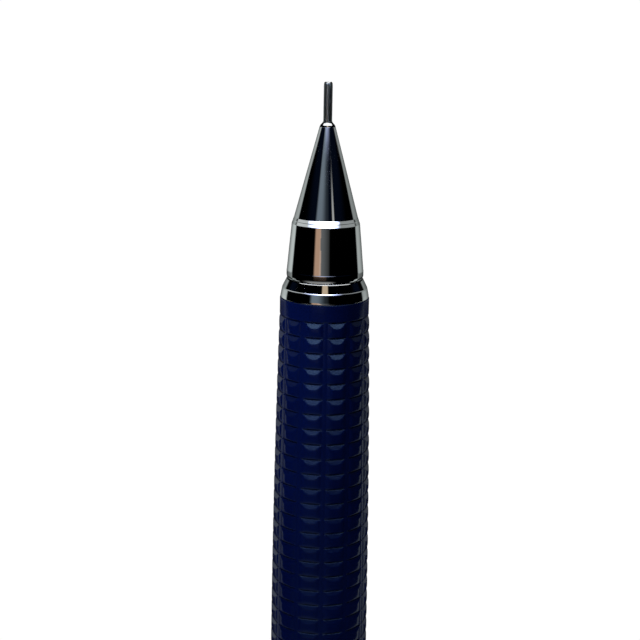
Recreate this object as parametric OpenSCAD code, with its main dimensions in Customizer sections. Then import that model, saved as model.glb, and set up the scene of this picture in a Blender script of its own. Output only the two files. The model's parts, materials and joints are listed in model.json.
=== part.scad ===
// Mechanical drafting pencil for 0.5 mm leads, standing on its push cap with the tip up.
// Origin: centre of the push cap's flat end. +Z runs along the axis to the tip, so "front" is +Z.
// The body is a twelve-sided moulding with rows of pads at the front, and flats face +X, -X,
// +Y and -Y. The pocket clip is on the -Y side.

/* [Overall] */
// Length from the push cap's flat end to the end of the lead sleeve
total_len = 144; // [142:0.5:148]
// Nominal wall-to-wall gap between the push cap and the tube collar it fits over
run_gap = 0.05; // [0.04:0.01:0.06]

/* [Body and grip] */
// Body radius over the corners, just behind the chrome collar
grip_front_r = 4.1; // [4.08:0.01:4.11]
// Body radius over the corners, where the taper ends
body_r = 4.618; // [4.5:0.01:4.8]
// Length of the taper from the first groove
taper_len = 35.9; // [30:0.1:40]
// Number of grooves along the grip
grip_rows = 28; // [10:1:30]
// Distance from one groove to the next
row_pitch = 1.4253; // [1.3:0.01:1.5]
// Depth of a groove
groove_depth = 0.14; // [0.08:0.01:0.2]
// Height of the steep wall of a groove, on its tip side
groove_wall = 0.28; // [0.2:0.01:0.35]
// Height of the long slope of a groove, on its rear side
groove_slope = 0.50; // [0.4:0.01:0.6]
// Radius of the smooth round band in front of the first groove
band_r = 4.12; // [4.12:0.01:4.2]

/* [Nose and lead] */
// Outside diameter of the lead sleeve
sleeve_od = 0.8; // [0.76:0.01:0.84]
// Inside diameter of the lead sleeve
sleeve_id = 0.6; // [0.59:0.01:0.62]
// Real diameter of a nominal 0.5 mm lead
lead_d = 0.56; // [0.54:0.01:0.57]
// Length of each spare lead
spare_lead_len = 60; // [20:1:60]
// Pitch of the nose thread
thread_pitch = 0.5; // [0.4:0.05:0.6]

/* [Push mechanism] */
// Wire diameter of the return spring
spring_wire = 0.4; // [0.3:0.01:0.45]
// Mean radius of the return spring
spring_r = 2.15; // [2.05:0.01:2.25]
// Active coils of the return spring
spring_coils = 6; // [5:1:7]
// Outside radius of the lead tube
tube_r = 1.65; // [1.6:0.01:1.9]
// Inside radius of the lead tube
tube_bore_r = 1.26; // [1.24:0.01:1.28]

/* [Rear end] */
// Radius of the push cap
cap_r = 3.05; // [2.9:0.01:3.06]
// Length of the push cap
cap_len = 12.3; // [11.8:0.1:12.6]
// Width of the clip arm at the band
clip_w = 3.4; // [2.8:0.1:3.8]
// Thickness of the clip's spring steel
clip_t = 0.6; // [0.5:0.05:0.7]

/* [Hidden] */
$fn = 96;
overlap = 0.01;
fit_gap = 0.02;                 // gap between pieces that fit tightly together

// Stations along the axis
nose_len = 21.2;                // from the first groove to the end of the sleeve
groove_z = total_len - nose_len; // the first groove
seat_z = groove_z + 1.62;       // face between the moulded body and the chrome collar
ring_z = groove_z + 2.4;        // rear face of the clutch ring
bore_step_z = groove_z - 8.4;   // step in the body's bore, behind the guide bush
stem_rear_z = groove_z - 19.3;  // rear end of the chuck's stem
flange_z = groove_z - 19.8;     // front face of the coupling's flange
neck_rear_z = 10.52;            // rear end of the body

// Radii shared by pieces that fit together
insert_bore_r = 3.2;            // body bore around the collar's shank and the guide bush
neck_r = 3.75;                  // round rear neck of the body
cap_clear_r = cap_r + 0.1;      // bore that the push cap slides in
stem_r = 1.1;
tube_collar_r = 2.45;           // rear collar of the lead tube

navy = [0.03, 0.06, 0.17];
chrome = [0.80, 0.81, 0.83];
brass = [0.78, 0.62, 0.30];
steel = [0.62, 0.63, 0.64];
black_rubber = [0.10, 0.10, 0.10];
graphite = [0.15, 0.15, 0.16];
grey_plastic = [0.80, 0.80, 0.78];
white_plastic = [0.85, 0.85, 0.82];
eraser_white = [0.92, 0.92, 0.90];

// ---------- shared shapes ----------
// Every profile is a list of [height, radius]. Bores run past the faces they open.

// Profile whose heights are measured from the first groove, moved to its place
function from_groove(profile) = [for (p = profile) [groove_z + p[0], p[1]]];

function radius_first(profile) = [for (p = profile) [p[1], p[0]]];

// Solid turned piece, closed on the axis
module turned(profile) {
    rotate_extrude()
        polygon(concat([[0, profile[0][0]]],
                       radius_first(profile),
                       [[0, profile[len(profile) - 1][0]]]));
}

// A straight bore or pin
module rod(r, z0, z1) {
    translate([0, 0, z0]) cylinder(r = r, h = z1 - z0);
}

// Closed solid through rings of points. flip is for rings that turn clockwise
// when seen from the last ring.
module loft(rings, flip = false) {
    sides = len(rings[0]);
    last = (len(rings) - 1) * sides;
    upward = [for (i = [0:sides - 1]) i];
    downward = [for (i = [sides - 1:-1:0]) i];
    polyhedron(
        points = [for (ring = rings) for (p = ring) p],
        faces = concat(
            [flip ? downward : upward],
            [[for (i = flip ? upward : downward) last + i]],
            [for (j = [0:len(rings) - 2]) for (i = [0:sides - 1])
                let (here = j * sides, next = here + sides, k = (i + 1) % sides)
                flip ? [here + i, here + k, next + k, next + i]
                     : [here + i, next + i, next + k, here + k]]));
}

// ---------- body and its fixed fittings ----------

rear_z = 19.5;                  // rear end of the twelve-sided part
tail_z = 34;                    // behind this the body narrows again
tail_len = 14;
tail_drop = 0.11;               // loss of radius over tail_len
rear_edge = 0.35;               // height of the bevel at rear_z

// Radius of the body over its corners, at height z
function corner_r(z) =
    let (t = min(max((groove_z - z) / taper_len, 0), 1),
         tail = max(0, (tail_z - z) / tail_len))
    grip_front_r + (body_r - grip_front_r) * (2 * t - t * t) - tail_drop * tail * tail;

function section(z, depth = 0) = [z, corner_r(z) - depth];

// Sections of the grooves, from the rear to the front
function grip_sections() =
    [for (i = [grip_rows - 1:-1:0])
        let (z = groove_z - i * row_pitch, foot = z - groove_wall / 2)
        for (s = [[foot - groove_slope, 0], [foot, groove_depth], [z + groove_wall / 2, 0]])
            section(s[0], s[1])];

function body_sections() =
    concat([section(rear_z, 0.22), section(rear_z + rear_edge)],
           [for (z = [23, 26, 30, tail_z, groove_z - grip_rows * row_pitch]) section(z)],
           grip_sections(),
           [[groove_z + 0.6, grip_front_r]]);

// One-piece moulded body: round rear neck, twelve-sided middle, padded grip, round front band
module barrel() {
    cap_bore_z = 16.5;          // front end of the push cap's bore
    edge = 0.05;
    color(navy)
    difference() {
        union() {
            loft([for (s = body_sections())
                [for (i = [0:11])
                    let (a = 15 + 30 * i)
                    [s[1] * cos(a), s[1] * sin(a), s[0]]]]);
            rod(neck_r, neck_rear_z, 21);
            turned(concat(
                from_groove([[0.32, band_r - edge], [0.37, band_r]]),
                [[seat_z - edge, band_r], [seat_z, band_r - edge]]));
        }
        rod(insert_bore_r, bore_step_z, seat_z + 1);
        rod(2.7, cap_bore_z - overlap, bore_step_z + 0.1);
        rod(cap_clear_r, 10, cap_bore_z);
    }
}

thread_turns = 12;
// One ridge of the nose thread: [fraction of the pitch, height over the root]
thread_ridge = [[0, 0], [0.24, 0.08], [0.5, 0.08], [0.74, 0]];

// Row of separate thread ridges standing on radius r, from height z
function thread_profile(z, r) =
    [for (i = [0:thread_turns - 1]) for (s = thread_ridge)
        [z + (i + s[0]) * thread_pitch, r + s[1]]];

// Chrome collar with a shank that is pressed into the body and carries the nose thread
module front_collar() {
    shank_r = insert_bore_r - fit_gap;
    bore_r = 2.84;
    thread_z = groove_z - 4.5;
    color(chrome)
    difference() {
        turned(concat(
            from_groove([[-5.55, 3.10], [-5.45, shank_r]]),
            [[seat_z + overlap, shank_r], [seat_z + overlap, 4.07]],
            from_groove([[1.79, 4.06], [1.97, 4.03], [2.16, 3.99], [2.45, 3.93], [2.60, 3.88],
                         [2.73, 3.82], [2.92, 3.73], [3.10, 3.63], [3.29, 3.56],
                         [3.40, 3.50]])));
        rod(bore_r, groove_z - 6, groove_z + 4);
        // thread roots
        rotate_extrude()
            polygon(radius_first(concat(
                [[thread_z - 0.1, 2.5]],
                thread_profile(thread_z, bore_r),
                [[thread_z + thread_turns * thread_pitch, 2.5]])));
    }
}

// Guide bush: a flange held behind the collar, and a tube that the chuck slides in.
// Its front face is the seat of the clutch ring and its rear face is the seat of the spring.
module guide_bush() {
    bush_tube_r = 2.2;
    color(brass)
    difference() {
        turned(concat(
            [[bore_step_z + fit_gap, 3.1]],
            from_groove([[-8.3, 3.15], [-5.7, 3.15], [-5.6, 3.05], [-5.6, bush_tube_r]]),
            [[ring_z - 0.11, bush_tube_r], [ring_z - overlap, bush_tube_r - 0.1]]));
        rod(1.25, groove_z - 9, ring_z + 1);
    }
}

// Chrome ring that closes the rear of the body around the push cap
module tail_ring() {
    color(chrome)
    difference() {
        turned([[9.5, 3.75], [9.58, 3.92], [9.75, 4.08], [10.0, 4.17], [10.3, 4.2], [13.2, 4.2],
                [13.33, 4.17], [13.4, 4.08]]);
        rod(cap_clear_r, 9, 14);
        rod(neck_r + fit_gap, neck_rear_z - fit_gap, 14);
    }
}

// Band of the pocket clip, a ring of spring steel around the body's rear neck
module clip_band() {
    color(chrome)
    difference() {
        turned([[13.45, 4.27], [13.53, 4.35], [19.32, 4.35], [19.4, 4.27]]);
        rod(neck_r + fit_gap, 13, 20);
    }
}

// Inner face of the clip arm, from the rear: [height, distance from the axis]
clip_inner = [[14.0, 4.40], [18.9, 4.40], [21.6, 5.25], [24.2, 5.85], [50.2, 5.25],
              [52.4, 4.72], [53.4, 4.62], [54.4, 4.78], [56.3, 5.5]];
// Side edge of the clip arm: [height, inset from half the width]
clip_edge = [[13.9, 0], [24, 0], [54.6, 0.35], [56.0, 0.8], [56.4, 1.3]];

// Arm of the pocket clip: a pad on the band, a rise, a long straight, a dip and a lead-in lip
module clip_arm() {
    bend_shift = 0.15;          // the outer face starts to rise this far behind the inner one
    side = concat(
        [for (p = clip_inner) [-p[1], p[0]]],
        [for (i = [len(clip_inner) - 1:-1:0])
            let (p = clip_inner[i])
            [-(p[1] + clip_t), p[0] - (i == 1 ? bend_shift : 0)]]);
    plan = concat(
        [for (p = clip_edge) [clip_w / 2 - p[1], p[0]]],
        [for (i = [len(clip_edge) - 1:-1:0])
            let (p = clip_edge[i])
            [p[1] - clip_w / 2, p[0]]]);
    color(chrome)
    intersection() {
        rotate([90, 0, 90])
            linear_extrude(height = 6, center = true)
                polygon(side);
        translate([0, -3, 0]) rotate([90, 0, 0])
            linear_extrude(height = 5)
                polygon(plan);
    }
}

// ---------- nose ----------

stop_z = groove_z + 5.82;       // shoulder in the nose cone that stops the clutch ring
retainer_seat_z = groove_z + 8.98;
brake_seat_z = groove_z + 9.62;
brake_pocket_r = 1.3;
retainer_pocket_r = 1.6;
sleeve_r = sleeve_od / 2;
cone_end = 17.65;               // front end of the nose cone, from the first groove

// Chrome nose cone with its threaded shank, unscrewed by hand
module nose_cone() {
    shank_r = 2.72;
    color(chrome)
    difference() {
        turned(concat(
            from_groove([[-4.8, shank_r - 0.12], [-4.7, shank_r]]),
            thread_profile(groove_z - 4.4, shank_r),
            from_groove([[3.43, shank_r], [3.43, 3.42], [3.53, 3.49], [3.66, 3.53],
                         [4.23, 3.52], [5.35, 3.41], [6.47, 3.31], [7.58, 3.20], [8.4, 3.09],
                         [8.75, 2.99], [9.0, 2.90], [9.2, 2.84], [9.61, 2.76],
                         [15.98, 1.058], [17.05, 0.765], [17.23, 0.70], [17.41, 0.60],
                         [17.59, 0.50], [cone_end, 0.48]])));
        rod(2.3, groove_z - 5, stop_z);
        rod(1.95, stop_z - 1, retainer_seat_z);
        rod(retainer_pocket_r, groove_z + 8, brake_seat_z);
        rod(brake_pocket_r, groove_z + 9, groove_z + 11.55);
        // tapered seat of the lead sleeve
        turned(from_groove([[11, sleeve_r + 0.0775], [cone_end, sleeve_r + 0.05],
                            [18, sleeve_r + 0.05]]));
    }
}

// Steel tube that guides the lead. Its tapered root is up to 0.13 mm thicker and sits in the cone
module lead_sleeve() {
    root_end = cone_end - 0.01;
    color(steel)
    difference() {
        turned(from_groove([[11.56, sleeve_r + 0.065], [root_end, sleeve_r + 0.04],
                            [root_end, sleeve_r], [nose_len - 0.08, sleeve_r],
                            [nose_len, sleeve_r - 0.05]]));
        rod(sleeve_id / 2, groove_z + 11, groove_z + 22);
    }
}

// Rubber washer that stops the lead from falling back while the chuck is open
module lead_brake() {
    color(black_rubber)
    difference() {
        rod(brake_pocket_r - fit_gap, brake_seat_z, groove_z + 11.5);
        rod(0.295, groove_z + 9, groove_z + 12);
    }
}

// Brass washer that keeps the lead brake in its pocket
module brake_retainer() {
    color(brass)
    difference() {
        rod(retainer_pocket_r - fit_gap, retainer_seat_z + fit_gap, brake_seat_z - 0.04);
        rod(0.5, groove_z + 8, groove_z + 10);
    }
}

// ---------- chuck and feed ----------

// The chuck's ten degree cone
cone_start = 3.1;               // height over the first groove
cone_start_r = 1.15;
cone_slope = 0.175;             // growth of the radius per mm of height
chuck_bore_r = 0.36;

// Radius of the cone at height h over the first groove
function chuck_r(h) = cone_start_r + cone_slope * (h - cone_start);

// Brass ring that squeezes the chuck's fingers shut
module clutch_ring() {
    ring_r = 2.2;
    throat_r = 1.2;
    color(brass)
    difference() {
        turned([[ring_z, ring_r - 0.1], [ring_z + 0.1, ring_r], [ring_z + 2.5, ring_r],
                [ring_z + 2.6, ring_r - 0.1]]);
        turned(concat([[ring_z - 1, throat_r]],
                      from_groove([[3.214, throat_r], [6, chuck_r(6) + 0.03]])));
    }
}

// One of the three sprung fingers of the chuck, with the cone at its head.
// Finger 0 is centred on +Y.
module chuck_jaw(k) {
    half_slit = 6;              // half the angle between two fingers
    root = -7.75;               // rear end, where the finger starts to bend
    head_r = chuck_r(5.1);
    color(brass)
    rotate([0, 0, 90 + 120 * k - 60 + half_slit])
        rotate_extrude(angle = 120 - 2 * half_slit)
            polygon(radius_first(from_groove(
                [[root, chuck_bore_r], [root, 0.9], [2.5, 0.9], [cone_start, cone_start_r],
                 [5.1, head_r], [5.2, head_r], [5.3, 1.4], [5.3, 0.5], [5.0, 0.29],
                 [1.6, 0.29], [1.2, chuck_bore_r]])));
}

module chuck_jaw_1() { chuck_jaw(0); }
module chuck_jaw_2() { chuck_jaw(1); }
module chuck_jaw_3() { chuck_jaw(2); }

// Stem of the chuck, pressed into the coupling
module chuck_body() {
    color(brass)
    difference() {
        turned(concat(
            [[stem_rear_z, stem_r - 0.08], [stem_rear_z + 0.08, stem_r]],
            from_groove([[-9.2, stem_r], [-8.8, 0.9], [-7.8, 0.9]])));
        rod(chuck_bore_r, groove_z - 20, groove_z - 7);
    }
}

spring_top = bore_step_z - fit_gap;
spring_bottom = flange_z + fit_gap;
spring_turns = spring_coils + 2;
closed_rise = spring_wire + 0.05;
open_rise = (spring_top - spring_bottom - spring_wire - 2 * closed_rise) / spring_coils;

// Rise of the spring's centre line after a number of turns
function spring_rise(turns) =
    turns < 1 ? turns * closed_rise
    : turns < spring_turns - 1 ? closed_rise + (turns - 1) * open_rise
    : spring_coils * open_rise + (turns - spring_turns + 2) * closed_rise;

// Compression spring with one closed coil at each end
module return_spring() {
    steps = 18;                 // rings per turn
    sides = 6;                  // sides of the wire
    wire_r = spring_wire / 2;
    flatten = 0.98;             // height of the wire's section over its width
    color(steel)
    loft([for (j = [0:spring_turns * steps])
        let (a = 360 * j / steps, centre_z = spring_bottom + wire_r + spring_rise(j / steps))
        [for (i = [0:sides - 1])
            let (b = 360 * i / sides, r = spring_r + wire_r * cos(b))
            [r * cos(a), r * sin(a), centre_z + wire_r * sin(b) * flatten]]],
        flip = true);
}

// Coupling between the chuck's stem and the lead tube, with the flange that the spring pushes
module tube_coupling() {
    plug_r = tube_bore_r - fit_gap;
    flange_r = 2.5;
    bore_r = 0.45;
    color(white_plastic)
    difference() {
        turned(from_groove(
            [[-26.8, plug_r - 0.1], [-26.7, plug_r], [-21.2, plug_r], [-21.2, flange_r - 0.08],
             [-21.12, flange_r], [-19.88, flange_r], [-19.8, flange_r - 0.08], [-19.8, 1.75],
             [-16.95, 1.75], [-16.8, 1.6]]));
        rod(bore_r, groove_z - 27, groove_z - 16);
        rod(stem_r + fit_gap, stem_rear_z - fit_gap, groove_z - 16);
        // funnel that guides a lead into the stem
        turned(from_groove([[-27, 1.16], [-26.8, 1.06], [-24.8, bore_r]]));
    }
}

tube_rear_z = 6;
holder_r = 1.85;                // part of the eraser holder inside the tube

// Long tube that stores the leads and carries the push cap on its rear collar
module lead_tube() {
    color(grey_plastic)
    difference() {
        turned([[tube_rear_z, tube_collar_r - 0.1], [tube_rear_z + 0.1, tube_collar_r],
                [11.2, tube_collar_r], [11.9, tube_r], [groove_z - 21.25, tube_r]]);
        rod(tube_bore_r, tube_rear_z - 1, groove_z - 20);
        rod(holder_r + 0.05, tube_rear_z - 1, 10.6);
    }
}

// Lead in use, drawn back into the nose as for carrying
module lead() {
    color(graphite)
        rod(lead_d / 2, groove_z - 24.9, groove_z + 17.1);
}

// Three spare leads lying loose in the tube
module spare_leads() {
    front_z = groove_z - 27.3;
    color(graphite)
        for (k = [0:2])
            rotate([0, 0, 120 * k + 20])
                translate([0.66, 0, 0])
                    rod(lead_d / 2, front_z - spare_lead_len, front_z);
}

// ---------- rear end ----------

eraser_r = 1.6;

// Holder that plugs the tube's mouth and grips the eraser
module eraser_holder() {
    rim_z = tube_rear_z - 0.05; // front face of the rim
    color(grey_plastic)
    difference() {
        turned([[5.2, 2.2], [5.28, 2.3], [rim_z - 0.08, 2.3], [rim_z, 2.22],
                [rim_z, holder_r], [10.1, holder_r], [10.2, holder_r - 0.1]]);
        rod(eraser_r + 0.01, 5, 9.1);
        rod(0.23, 9, 11);
    }
}

// Eraser stub
module eraser() {
    color(eraser_white)
        turned([[1.6, 1.35], [1.68, 1.52], [1.85, eraser_r], [9.0, eraser_r]]);
}

// Wire that clears a broken lead out of the sleeve
module clearing_pin() {
    color(steel)
        turned([[9.12, 0.22], [23.6, 0.22], [24.0, 0.12]]);
}

// Chrome push cap, pulled off to reach the eraser and the leads
module push_cap() {
    floor_t = 1.0;
    color(chrome)
    difference() {
        turned([[0, 2.55], [0.06, 2.75], [0.2, 2.92], [0.4, 3.02], [0.65, cap_r],
                [cap_len - 0.1, cap_r], [cap_len, cap_r - 0.1]]);
        rod(tube_collar_r + run_gap, floor_t, cap_len + 1);
    }
}

barrel();
front_collar();
nose_cone();
lead_sleeve();
lead_brake();
brake_retainer();
clutch_ring();
chuck_jaw_1();
chuck_jaw_2();
chuck_jaw_3();
chuck_body();
guide_bush();
return_spring();
tube_coupling();
lead_tube();
lead();
spare_leads();
eraser_holder();
eraser();
clearing_pin();
push_cap();
tail_ring();
clip_band();
clip_arm();
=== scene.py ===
"""A mechanical pencil standing upright on its push cap, lead up, with its axis on Z.

The foot of the cap is near z = 0. "Front" is the lead end (+Z), "rear" the cap end. The pocket
clip lies on the -Y side. Shapes are in millimetres; lights, textures and floor offset in metres.
"""
import json
import math

import bpy
import numpy as np
from mathutils import Matrix, Vector

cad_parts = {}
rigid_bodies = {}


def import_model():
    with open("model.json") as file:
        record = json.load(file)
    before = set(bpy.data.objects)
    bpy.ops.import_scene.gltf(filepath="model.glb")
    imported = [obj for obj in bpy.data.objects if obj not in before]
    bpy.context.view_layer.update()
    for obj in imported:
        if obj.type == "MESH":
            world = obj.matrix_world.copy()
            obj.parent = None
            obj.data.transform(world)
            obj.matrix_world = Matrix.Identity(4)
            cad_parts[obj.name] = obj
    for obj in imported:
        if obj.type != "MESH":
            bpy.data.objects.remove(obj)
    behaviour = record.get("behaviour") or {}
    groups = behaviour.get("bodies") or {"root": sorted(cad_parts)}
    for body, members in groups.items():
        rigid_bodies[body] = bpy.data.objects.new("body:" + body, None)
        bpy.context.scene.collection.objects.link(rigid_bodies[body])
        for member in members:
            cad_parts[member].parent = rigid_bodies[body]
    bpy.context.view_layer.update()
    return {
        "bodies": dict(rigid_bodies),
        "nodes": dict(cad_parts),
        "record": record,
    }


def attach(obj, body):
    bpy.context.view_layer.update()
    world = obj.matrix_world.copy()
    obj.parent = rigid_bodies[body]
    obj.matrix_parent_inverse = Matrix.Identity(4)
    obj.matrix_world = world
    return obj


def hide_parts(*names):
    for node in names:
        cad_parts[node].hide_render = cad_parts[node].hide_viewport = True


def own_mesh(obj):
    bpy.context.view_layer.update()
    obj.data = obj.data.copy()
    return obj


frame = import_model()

scene = bpy.context.scene
MM = 0.001
GROOVE = 122.8        # height of the foremost groove of the grip


# ------------------------------------------------------------------ mesh helpers

def build(name, verts, faces, sharp):
    """A mesh object facing outward, smooth except over edges sharper than `sharp` degrees."""
    points = np.asarray(verts, float)
    tris = np.asarray([(f[0], f[k], f[k + 1]) for f in faces for k in range(1, len(f) - 1)])
    first, second, third = (points[tris[:, k]] for k in range(3))
    if np.einsum("ij,ij->i", first, np.cross(second, third)).sum() < 0:
        faces = [tuple(reversed(f)) for f in faces]
    mesh = bpy.data.meshes.new(name)
    mesh.from_pydata([tuple(p) for p in points * MM], [], [tuple(f) for f in faces])
    mesh.update()
    mesh.shade_smooth()
    mesh.set_sharp_from_angle(angle=math.radians(sharp))
    ob = bpy.data.objects.new(name, mesh)
    scene.collection.objects.link(ob)
    return ob


def corner_arc(before, corner, after, radius, step, reach):
    """Points of a rounded corner, which uses at most the share `reach` of either side."""
    corner = np.array(corner[:2], float)
    side_a = np.array(before[:2], float) - corner
    side_b = np.array(after[:2], float) - corner
    len_a, len_b = float(np.hypot(*side_a)), float(np.hypot(*side_b))
    if len_a < 1e-9 or len_b < 1e-9:
        return [tuple(corner)]
    side_a, side_b = side_a / len_a, side_b / len_b
    inside = math.acos(max(-1.0, min(1.0, float(side_a @ side_b))))
    if math.pi - inside < math.radians(1.5):
        return [tuple(corner)]
    cut = min(radius / math.tan(inside / 2), reach * len_a, reach * len_b)
    radius = cut * math.tan(inside / 2)
    middle = side_a + side_b
    centre = corner + middle / np.hypot(*middle) * radius / math.sin(inside / 2)
    start, end = corner + side_a * cut - centre, corner + side_b * cut - centre
    angle = math.atan2(start[1], start[0])
    sweep = math.atan2(end[1], end[0]) - angle
    sweep = (sweep + math.pi) % (2 * math.pi) - math.pi
    count = max(2, math.ceil(math.degrees(abs(sweep)) / step))
    angles = [angle + sweep * j / count for j in range(count + 1)]
    return [(centre[0] + radius * math.cos(a), centre[1] + radius * math.sin(a)) for a in angles]


def rounded(loop, radius):
    """A closed (radius, height) loop with rounded corners.

    A third entry in a point is that corner's own rounding; 0 keeps it sharp.
    """
    out = []
    for i, point in enumerate(loop):
        own = point[2] if len(point) > 2 else radius
        if own <= 0 or point[0] < 1e-6:
            out.append(point[:2])
        else:
            after = loop[(i + 1) % len(loop)]
            out += corner_arc(loop[i - 1], point, after, own, step=9.0, reach=0.45)
    return out


def supported(loop, longest=0.2, near=0.035):
    """Adds a point close to both ends of every long straight, to keep its shading flat."""
    out = []
    for i in range(len(loop)):
        a, b = np.array(loop[i], float), np.array(loop[(i + 1) % len(loop)], float)
        out.append(tuple(a))
        length = float(np.hypot(*(b - a)))
        if length > longest and not (a[0] < 1e-6 and b[0] < 1e-6):
            share = min(near / length, 0.2)
            out += [tuple(a + (b - a) * share), tuple(b - (b - a) * share)]
    return out


def ring_mesh(name, rings, sharp):
    """A closed skin through rings of equal length; a ring of one point is a pole."""
    verts, index = [], []
    for ring in rings:
        index.append(list(range(len(verts), len(verts) + len(ring))))
        verts.extend(ring)
    faces = []
    for j, a in enumerate(index):
        b = index[(j + 1) % len(index)]
        if len(a) == 1 and len(b) == 1:
            continue
        count = max(len(a), len(b))
        for i in range(count):
            k = (i + 1) % count
            if len(a) == 1:
                faces.append((a[0], b[k], b[i]))
            elif len(b) == 1:
                faces.append((a[i], a[k], b[0]))
            else:
                faces.append((a[i], a[k], b[k], b[i]))
    return build(name, verts, faces, sharp)


def centre_of(ring):
    """A pole in the middle of a ring."""
    return [tuple(np.mean(np.array(ring), axis=0))]


def circle(radius, z, count):
    if radius < 1e-6:
        return [(0.0, 0.0, z)]
    angles = [2 * math.pi * i / count for i in range(count)]
    return [(radius * math.cos(a), radius * math.sin(a), z) for a in angles]


def turned_rings(outline, rounding, count):
    return [circle(r, z, count) for r, z in supported(rounded(outline, rounding))]


def lathe(name, outline, rounding=0.04, count=144, sharp=34.0):
    return ring_mesh(name, turned_rings(outline, rounding, count), sharp)


def from_groove(table):
    """Turns (height above the foremost groove, radius, ...) into (radius, height, ...)."""
    return [(row[1], GROOVE + row[0], *row[2:]) for row in table]


# ------------------------------------------------------------------ body moulding

PITCH = 1.4253        # groove to groove
ROWS = 28
CORNER_FRONT = 4.1    # corner radius at the foremost groove
CORNER_SWELL = 0.518  # what the corner radius gains over SWELL_LENGTH
SWELL_LENGTH = 35.9
CORNER_BEYOND = 0.0226  # sharp corner of the section beyond the corner radius
RIDGE = 0.19          # half width of the narrow facet along each of the twelve ridges
RIDGE_CROWN = 0.0085
# points over a flat, as shares of its half width
ACROSS = [-1, -0.97] + [-0.91 + 1.82 * j / 16 for j in range(17)] + [0.97, 1]
TILT = 20.75          # slope in degrees of the plane that starts the first pad
TILT_STEP = 0.09      # what each further row adds to it
PAD_WIDTH = 0.985     # pad width over flat width
CROWN = 0.21          # height of a pad over the flat it stands on
CROWN_LOSS = 0.008    # share of that height lost with each row
CROWN_END = 0.80      # distance behind the front groove where the crown starts to sink
BLEND = 0.012         # softness of the curve between plane and crown
KNEE = 0.84           # length of the finely divided front part of a pad
NOTCH = 0.03          # depth of the fine groove between two rows
WALL = 0.04           # half height of a groove's steep wall

# (height, cut from the corner radius) where the twelve-sided part rounds off at the rear
REAR_EDGE = [(19.5, 0.24), (19.53, 0.17), (19.59, 0.10), (19.68, 0.045), (19.78, 0.012),
             (19.9, 0.0)]
PLAIN_HEIGHTS = [20.2, 21, 22, 23.5, 25, 27, 29, 31, 33, 35, *range(38, 83, 4)]
# (radius, height) of the rear spigot
SPIGOT = [(3.70, 10.52), (3.735, 10.54), (3.75, 10.58), (3.75, 10.8), (3.75, 19.3), (3.75, 19.5)]
# (height above the foremost groove, radius) of the smooth round band
BAND_START = [(WALL, 4.085), (0.06, 4.108), (0.10, 4.12), (0.2, 4.12), (0.8, 4.12)]
# (radius, height) of the band's front edge, then the bore from front to rear
BAND_END_AND_BORE = [
    (4.12, 124.28), (4.118, 124.34), (4.108, 124.375), (4.09, 124.40), (4.068, 124.415),
    (4.04, 124.42), (3.24, 124.42), (3.205, 124.40), (3.2, 124.36), (3.2, 114.45), (3.2, 114.4),
    (2.7, 114.4), (2.7, 114.3), (2.7, 16.6), (2.7, 16.5), (3.15, 16.5), (3.15, 16.4),
    (3.15, 10.62), (3.16, 10.54), (3.19, 10.52)]


def corner_radius(z):
    along = min(max((GROOVE - z) / SWELL_LENGTH, 0.0), 1.0)
    tail = max(0.0, (34 - z) / 14)
    return CORNER_FRONT + CORNER_SWELL * (2 * along - along * along) - 0.11 * tail * tail


def row_front(row):
    return GROOVE - WALL - row * PITCH


def pad_height(across, behind, row):
    """Pad height: a plane rises from the front groove and curves into the sinking crown."""
    width = max(0.0, 1 - abs(across / PAD_WIDTH) ** 3)
    sink = max(0.0, (behind - CROWN_END) / (PITCH - CROWN_END))
    crown = CROWN * (1 - CROWN_LOSS * row) * width * (1 - 0.55 * sink * sink)
    plane = math.tan(math.radians(TILT + TILT_STEP * row)) * behind
    mix = max(0.0, min(1.0, 0.5 + 0.5 * (crown - plane) / BLEND))
    return max(0.0, crown + (plane - crown) * mix - BLEND * mix * (1 - mix))


def body_ring(z, cut=0.0, row=None):
    """The twelve-sided section at height z; a row number puts a pad on every flat."""
    half_turn = math.radians(15)
    apothem = (corner_radius(z) - cut + CORNER_BEYOND) * math.cos(half_turn)
    flat = apothem * math.tan(half_turn) - RIDGE / math.cos(half_turn)
    facet = apothem * math.cos(half_turn) + flat * math.sin(half_turn)
    heights, notch = [0.0] * len(ACROSS), 0.0
    if row is not None:
        behind = row_front(row) - z
        heights = [pad_height(across, behind, row) for across in ACROSS]
        if behind < 0.01 or behind > PITCH - 2 * WALL - 0.01:
            notch = NOTCH

    def place(out, side, angle):
        c, s = math.cos(angle), math.sin(angle)
        return (out * c - side * s, out * s + side * c, z)

    ring = []
    for f in range(12):
        for across, height in zip(ACROSS, heights):
            out = apothem + (height - notch)
            ring.append(place(out, flat * across, math.radians(30 * f)))
        for t in (-0.9, -0.5, 0.0, 0.5, 0.9):
            out = facet + RIDGE_CROWN * (1 - t * t) - 0.5 * notch
            ring.append(place(out, RIDGE * t, math.radians(30 * f + 15)))
    return ring


def body():
    # round sections take the angles of the twelve-sided one
    angles = [math.atan2(y, x) for x, y, _ in body_ring(60.0)]

    def disc(radius, z):
        return [(radius * math.cos(a), radius * math.sin(a), z) for a in angles]

    rings = [disc(r, z) for r, z in SPIGOT]
    rings += [body_ring(z, cut) for z, cut in REAR_EDGE]
    grip_end = row_front(ROWS)
    plain = PLAIN_HEIGHTS + [grip_end - 0.5, grip_end - 0.06, grip_end]
    rings += [body_ring(float(z)) for z in plain]
    for row in range(ROWS - 1, -1, -1):
        front = row_front(row)
        rear = front - PITCH + 2 * WALL
        knee = front - KNEE
        rings += [body_ring(rear + (knee - 0.02 - rear) * k / 8, row=row) for k in range(9)]
        rings += [body_ring(front - KNEE * k / 18, row=row) for k in range(18, -1, -1)]
    rings += [disc(r, z) for r, z in from_groove(BAND_START) + BAND_END_AND_BORE]
    return ring_mesh("body_moulding", rings, 38.0)


# ------------------------------------------------------------------ chrome nose and collar

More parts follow.
